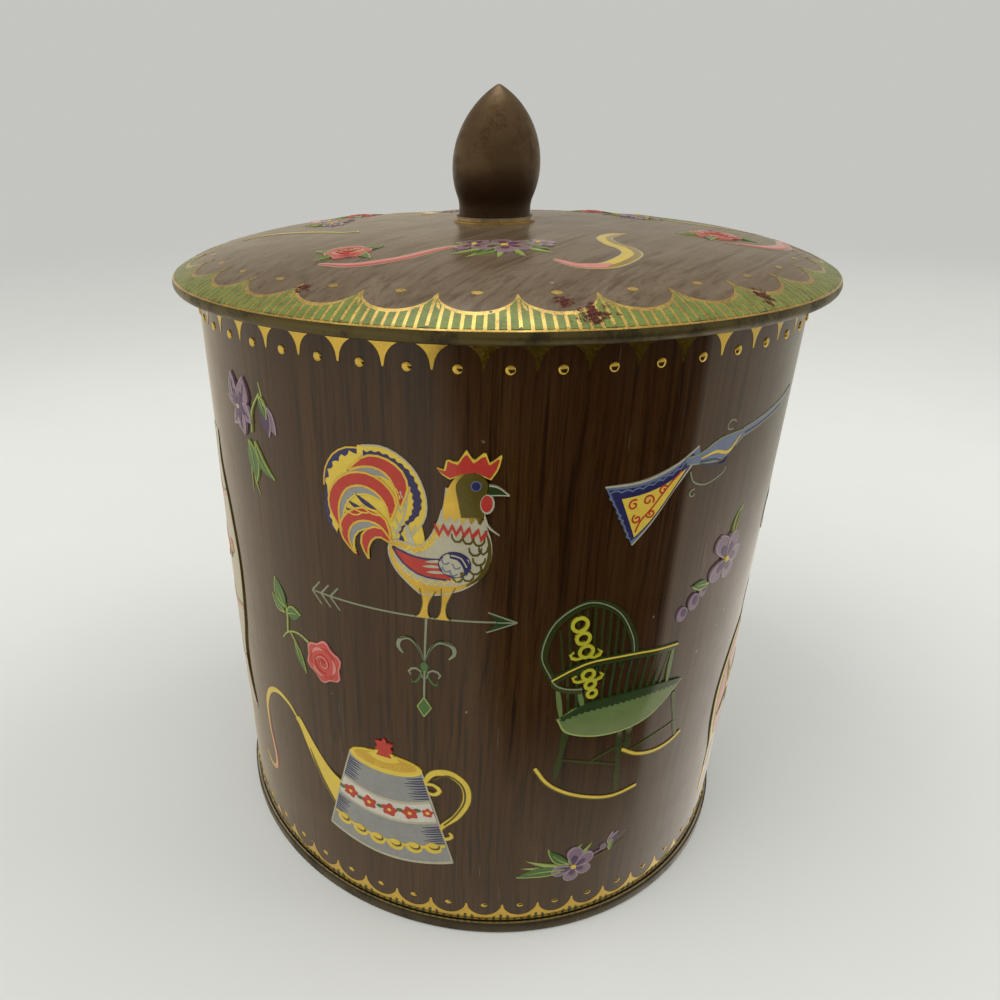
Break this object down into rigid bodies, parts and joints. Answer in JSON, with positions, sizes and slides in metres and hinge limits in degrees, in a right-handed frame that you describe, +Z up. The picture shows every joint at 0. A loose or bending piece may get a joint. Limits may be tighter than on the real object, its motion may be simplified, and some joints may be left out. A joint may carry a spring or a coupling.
{
  "type": "lithographed tin",
  "caption": "Round biscuit tin with a double-seamed base and a domed lift-off lid that has a plug collar and a pointed knob.",
  "frame": {"origin": "on the floor at the centre of the base", "axes": "+Z up along the tin's axis, -Y is the front of the decoration, +X to the right of it"},
  "size_m": [0.146, 0.146, 0.1801],
  "materials": {
    "litho_body": "gloss lacquer, dark brown wood grain print with embossed coloured motifs",
    "litho_lid": "gloss lacquer, brown wood grain print with green and gold scalloped edge",
    "base_metal": "thin gold-bronze lacquer, worn at the rim",
    "bare_tin": "bright tinplate, lightly tarnished",
    "solder": "dull soft solder",
    "knob_bronze": "satin bronze-brown lacquer, rubbed",
    "knob_ring": "bronze lacquer worn through to bright brass on the edges",
    "rivet_brass": "plain brass, dull"
  },
  "bodies": {
    "tin": {"body_wall": "litho_body", "bottom_end": "base_metal"},
    "lid": {"lid_cover": "litho_lid", "lid_collar": "bare_tin", "collar_solder": "solder", "knob_shell": "knob_bronze", "knob_base": "knob_ring", "clamp_washer": "bare_tin", "knob_rivet": "rivet_brass", "rivet_washer": "bare_tin"}
  },
  "joints": [
    {"name": "lid_lift", "type": "slide", "parent": "tin", "child": "lid", "axis": [0, 0, 1], "range_m": [0, 0.06]}
  ]
}
